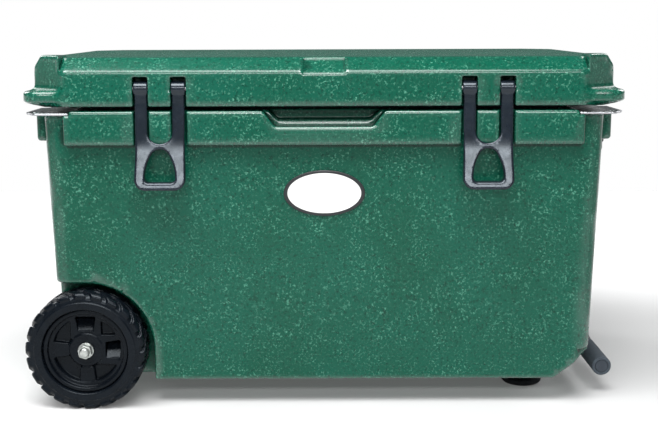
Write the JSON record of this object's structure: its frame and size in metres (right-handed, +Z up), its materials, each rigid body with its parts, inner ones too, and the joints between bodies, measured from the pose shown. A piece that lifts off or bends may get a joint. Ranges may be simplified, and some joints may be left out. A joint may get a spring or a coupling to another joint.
{
  "type": "wheeled cooler",
  "caption": "Hard-sided insulated cool box with a hinged lid, rubber pull-down latches, two wheels at one end and a folding tow handle at the other.",
  "frame": {"origin": "centre of the bounding box at ground level, under the tyres and feet", "axes": "+X from the wheels to the tow handle, +Y from the latches to the hinges, +Z up"},
  "size_m": [0.7491, 0.4477, 0.442],
  "materials": {
    "shell": "mottled green moulded plastic, satin, fine texture",
    "insulation": "pale closed-cell foam",
    "tyre": "black rubber tread",
    "rubber": "matte black rubber",
    "stainless": "brushed stainless steel",
    "zinc_steel": "zinc-plated steel",
    "latch_rubber": "dark grey heavy-duty rubber",
    "grip_foam": "dark grey foam sleeve",
    "black_steel": "black powder coat",
    "badge": "white with a thin dark border",
    "bush": "natural nylon",
    "gasket": "dark grey foam rubber seal",
    "black_plastic": "fine-textured black plastic"
  },
  "bodies": {
    "box": {"axle": "zinc_steel", "axle_nut_front": "zinc_steel", "axle_nut_rear": "zinc_steel", "axle_washer_front": "zinc_steel", "axle_washer_rear": "zinc_steel", "badge_plate": "badge", "body_fill_plug": "black_plastic", "body_foam": "insulation", "body_shell": "shell", "drain_seal": "rubber", "foot_front": "rubber", "foot_rear": "rubber", "foot_screw_front": "zinc_steel", "foot_screw_rear": "zinc_steel", "hinge_rod_left": "stainless", "hinge_rod_right": "stainless", "lock_plate_left": "stainless", "lock_plate_right": "stainless", "lock_plate_screw_left_1": "stainless", "lock_plate_screw_left_2": "stainless", "lock_plate_screw_right_1": "stainless", "lock_plate_screw_right_2": "stainless", "tow_bracket_front": "black_plastic", "tow_bracket_rear": "black_plastic", "tow_bracket_screw_front_1": "black_steel", "tow_bracket_screw_front_2": "black_steel", "tow_bracket_screw_rear_1": "black_steel", "tow_bracket_screw_rear_2": "black_steel"},
    "lid": {"latch_pin_left": "stainless", "latch_pin_right": "stainless", "lid_fill_plug": "black_plastic", "lid_foam": "insulation", "lid_gasket": "gasket", "lid_shell": "shell"},
    "latch_l": {"latch_left": "latch_rubber"},
    "latch_r": {"latch_right": "latch_rubber"},
    "wheel_f": {"tyre_front": "tyre", "wheel_bush_front": "bush", "wheel_rim_front": "black_plastic"},
    "wheel_r": {"tyre_rear": "tyre", "wheel_bush_rear": "bush", "wheel_rim_rear": "black_plastic"},
    "tow": {"tow_arm_front": "black_steel", "tow_arm_rear": "black_steel", "tow_crossbar": "black_steel", "tow_end_plug_front": "black_plastic", "tow_end_plug_rear": "black_plastic", "tow_grip_front": "grip_foam", "tow_grip_rear": "grip_foam", "tow_pivot_rod": "black_steel"},
    "drain": {"drain_cap": "black_plastic"}
  },
  "joints": [
    {"name": "lid_hinge", "type": "hinge", "parent": "box", "child": "lid", "pos_m": [0, 0.215, 0.37815], "axis": [-1, 0, 0], "range_deg": [0, 95]},
    {"name": "latch_left_hinge", "type": "hinge", "parent": "lid", "child": "latch_l", "pos_m": [-0.198, -0.1965, 0.402], "axis": [-1, 0, 0], "range_deg": [0, 120]},
    {"name": "latch_right_hinge", "type": "hinge", "parent": "lid", "child": "latch_r", "pos_m": [0.198, -0.1965, 0.402], "axis": [-1, 0, 0], "range_deg": [0, 120]},
    {"name": "wheel_front_spin", "type": "hinge", "parent": "box", "child": "wheel_f", "pos_m": [-0.3003, -0.181, 0.075], "axis": [0, 1, 0], "continuous": true},
    {"name": "wheel_rear_spin", "type": "hinge", "parent": "box", "child": "wheel_r", "pos_m": [-0.3003, 0.183, 0.075], "axis": [0, 1, 0], "continuous": true},
    {"name": "tow_handle_hinge", "type": "hinge", "parent": "box", "child": "tow", "pos_m": [0.3533, 0.001, 0.3215], "axis": [0, -1, 0], "range_deg": [0, 105]},
    {"name": "drain_cap_turn", "type": "hinge", "parent": "box", "child": "drain", "pos_m": [-0.345, 0.001, 0.104], "axis": [-1, 0, 0], "range_deg": [0, 180]}
  ]
}
